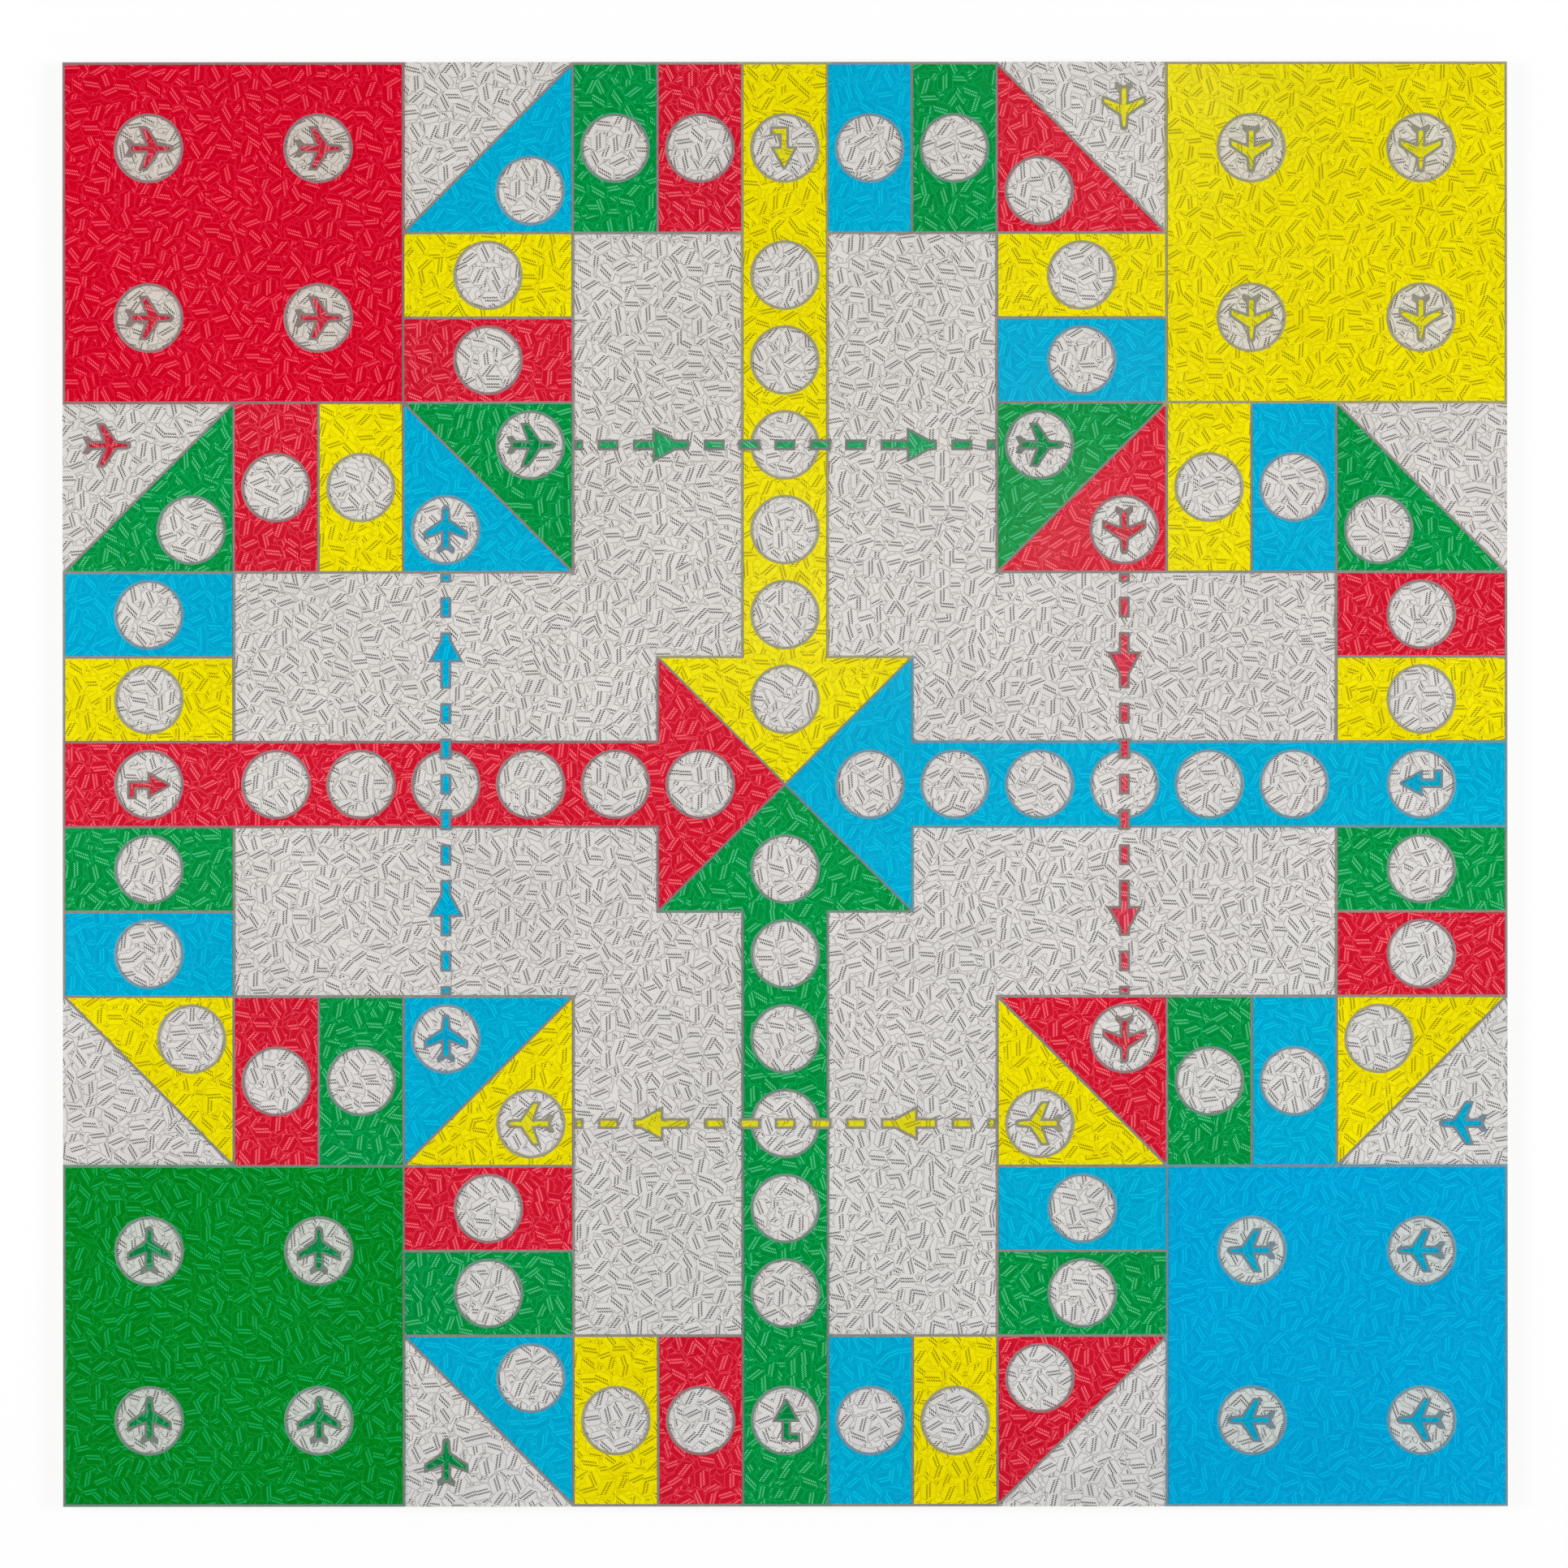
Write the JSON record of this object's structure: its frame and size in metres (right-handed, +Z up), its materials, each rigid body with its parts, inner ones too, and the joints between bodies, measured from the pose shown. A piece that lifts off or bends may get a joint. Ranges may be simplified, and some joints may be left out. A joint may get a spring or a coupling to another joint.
{
  "type": "aeroplane chess board",
  "caption": "Square flat board for the aeroplane chess race game: a rigid panel faced with cut coloured sheets, grey outlines, round stations, home fields and centre lanes.",
  "frame": {"origin": "centre of the underside", "axes": "+Z up out of the playing face, +Y towards the yellow side, +X towards the blue side"},
  "size_m": [0.8004, 0.8004, 0.0106],
  "materials": {
    "yellow": "satin coated paper",
    "blue": "satin coated paper",
    "green": "satin coated paper",
    "red": "satin coated paper",
    "pale": "satin coated paper",
    "grey": "smooth grey card",
    "fibre": "fine fibreboard with cut edges",
    "back": "plain backing paper"
  },
  "bodies": {
    "root": {"back_sheet": "back", "core_panel": "fibre", "ground_sheet": "pale", "outline_mat": "grey", "home_yellow": "yellow", "lane_yellow": "yellow", "cell_top_01": "blue", "cell_top_02": "green", "corner_top_03": "red", "cell_top_04": "yellow", "cell_top_05": "blue", "corner_top_06": "green", "corner_top_07": "red", "cell_top_08": "yellow", "cell_top_09": "blue", "corner_top_10": "green", "cell_top_11": "red", "cell_top_12": "yellow", "home_blue": "blue", "lane_blue": "blue", "cell_right_01": "green", "cell_right_02": "red", "corner_right_03": "yellow", "cell_right_04": "blue", "cell_right_05": "green", "corner_right_06": "red", "corner_right_07": "yellow", "cell_right_08": "blue", "cell_right_09": "green", "corner_right_10": "red", "cell_right_11": "yellow", "cell_right_12": "blue", "home_green": "green", "lane_green": "green", "cell_bottom_01": "red", "cell_bottom_02": "yellow", "corner_bottom_03": "blue", "cell_bottom_04": "green", "cell_bottom_05": "red", "corner_bottom_06": "yellow", "corner_bottom_07": "blue", "cell_bottom_08": "green", "cell_bottom_09": "red", "corner_bottom_10": "yellow", "cell_bottom_11": "blue", "cell_bottom_12": "green", "home_red": "red", "lane_red": "red", "cell_left_01": "yellow", "cell_left_02": "blue", "corner_left_03": "green", "cell_left_04": "red", "cell_left_05": "yellow", "corner_left_06": "blue", "corner_left_07": "green", "cell_left_08": "red", "cell_left_09": "yellow", "corner_left_10": "blue", "cell_left_11": "green", "cell_left_12": "red"}
  },
  "joints": []
}
